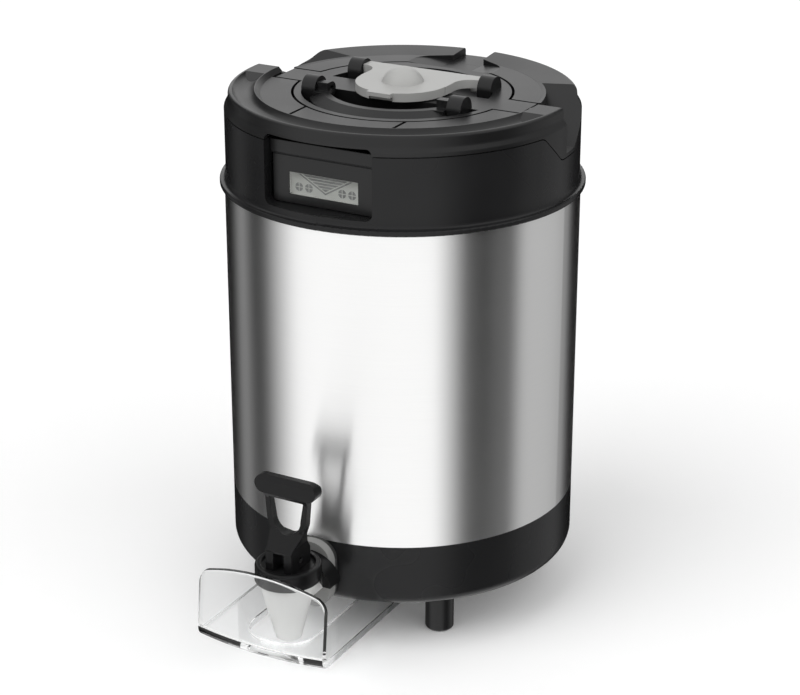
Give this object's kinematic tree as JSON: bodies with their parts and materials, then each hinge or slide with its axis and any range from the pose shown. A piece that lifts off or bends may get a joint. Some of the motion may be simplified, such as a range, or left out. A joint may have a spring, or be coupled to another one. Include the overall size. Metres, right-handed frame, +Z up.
{
  "type": "thermal coffee dispenser",
  "caption": "Vacuum-insulated steel coffee server on legs with a pull-handle tap, clear slide-out splash guard, level display and a lift-out brew-through lid with bail and hinged flap.",
  "frame": {"origin": "on the vessel's axis, on the surface that the legs stand on", "axes": "+Z up along the vessel's axis, the tap points to -Y, +X to the right seen from the front"},
  "size_m": [0.226, 0.297, 0.344],
  "materials": {
    "shell_steel": "brushed round the body",
    "liner_steel": "satin",
    "bright_steel": "bright",
    "gloss_black": "semi-gloss moulded",
    "satin_black": "satin moulded",
    "matte_black": "matte",
    "light_grey": "smooth moulded",
    "mid_grey": "smooth moulded",
    "silicone": "translucent silicone",
    "black_rubber": "matte",
    "clear_acrylic": "clear polished",
    "display_lens": "clear",
    "display_glass": "liquid crystal grey",
    "board_green": "solder mask"
  },
  "bodies": {
    "body": {"outer_shell": "shell_steel", "inner_liner": "liner_steel", "base_ring": "gloss_black", "base_plate": "matte_black", "leg_front_right": "satin_black", "leg_front_left": "satin_black", "leg_rear_right": "satin_black", "leg_rear_left": "satin_black", "guard_rail_right": "satin_black", "guard_rail_left": "satin_black", "collar": "gloss_black", "top_cover": "satin_black", "rear_rim": "satin_black", "lid_ring": "satin_black", "display_bezel": "satin_black", "display_window": "display_lens", "display_screen": "display_glass", "display_board": "board_green", "drain_elbow": "silicone", "faucet_body": "light_grey", "shank_flange": "mid_grey", "shank_gasket": "black_rubber", "shank_nut": "mid_grey", "shank_collar": "satin_black", "bonnet": "satin_black", "stem_spring": "bright_steel"},
    "stem": {"stem": "bright_steel", "seat_cup": "silicone", "handle_pin": "bright_steel"},
    "handle": {"faucet_handle": "satin_black"},
    "guard": {"faucet_guard": "clear_acrylic"},
    "lid": {"lid_top": "satin_black", "lid_gasket": "silicone", "lid_plug": "matte_black", "brew_tube": "light_grey", "flap_pins": "bright_steel", "bail_pins": "bright_steel"},
    "bail": {"lid_bail": "satin_black"},
    "flap": {"brew_flap": "light_grey", "flap_seal": "silicone"}
  },
  "joints": [
    {"name": "stem_lift", "type": "slide", "parent": "body", "child": "stem", "axis": [0, 0, 1], "range_m": [0, 0.0052], "stiffness_N_per_m": 600, "springref_m": -0.006, "deforming": ["stem_spring"]},
    {"name": "handle_pull", "type": "hinge", "parent": "stem", "child": "handle", "pos_m": [0, -0.144, 0.076], "axis": [1, 0, 0], "range_deg": [0, 30]},
    {"name": "guard_slide", "type": "slide", "parent": "body", "child": "guard", "axis": [0, -1, 0], "range_m": [0, 0.1]},
    {"name": "lid_lift", "type": "slide", "parent": "body", "child": "lid", "axis": [0, 0, 1], "range_m": [0, 0.2]},
    {"name": "bail_swing", "type": "hinge", "parent": "lid", "child": "bail", "pos_m": [0, -0.022, 0.33], "axis": [-1, 0, 0], "range_deg": [0, 95]},
    {"name": "flap_open", "type": "hinge", "parent": "lid", "child": "flap", "pos_m": [0, 0.027, 0.33], "axis": [-1, 0, 0], "range_deg": [0, 100]}
  ],
  "couplings": [
    {"joint": "handle_pull", "follows": "stem_lift", "rad_per_m": 100.6}
  ]
}
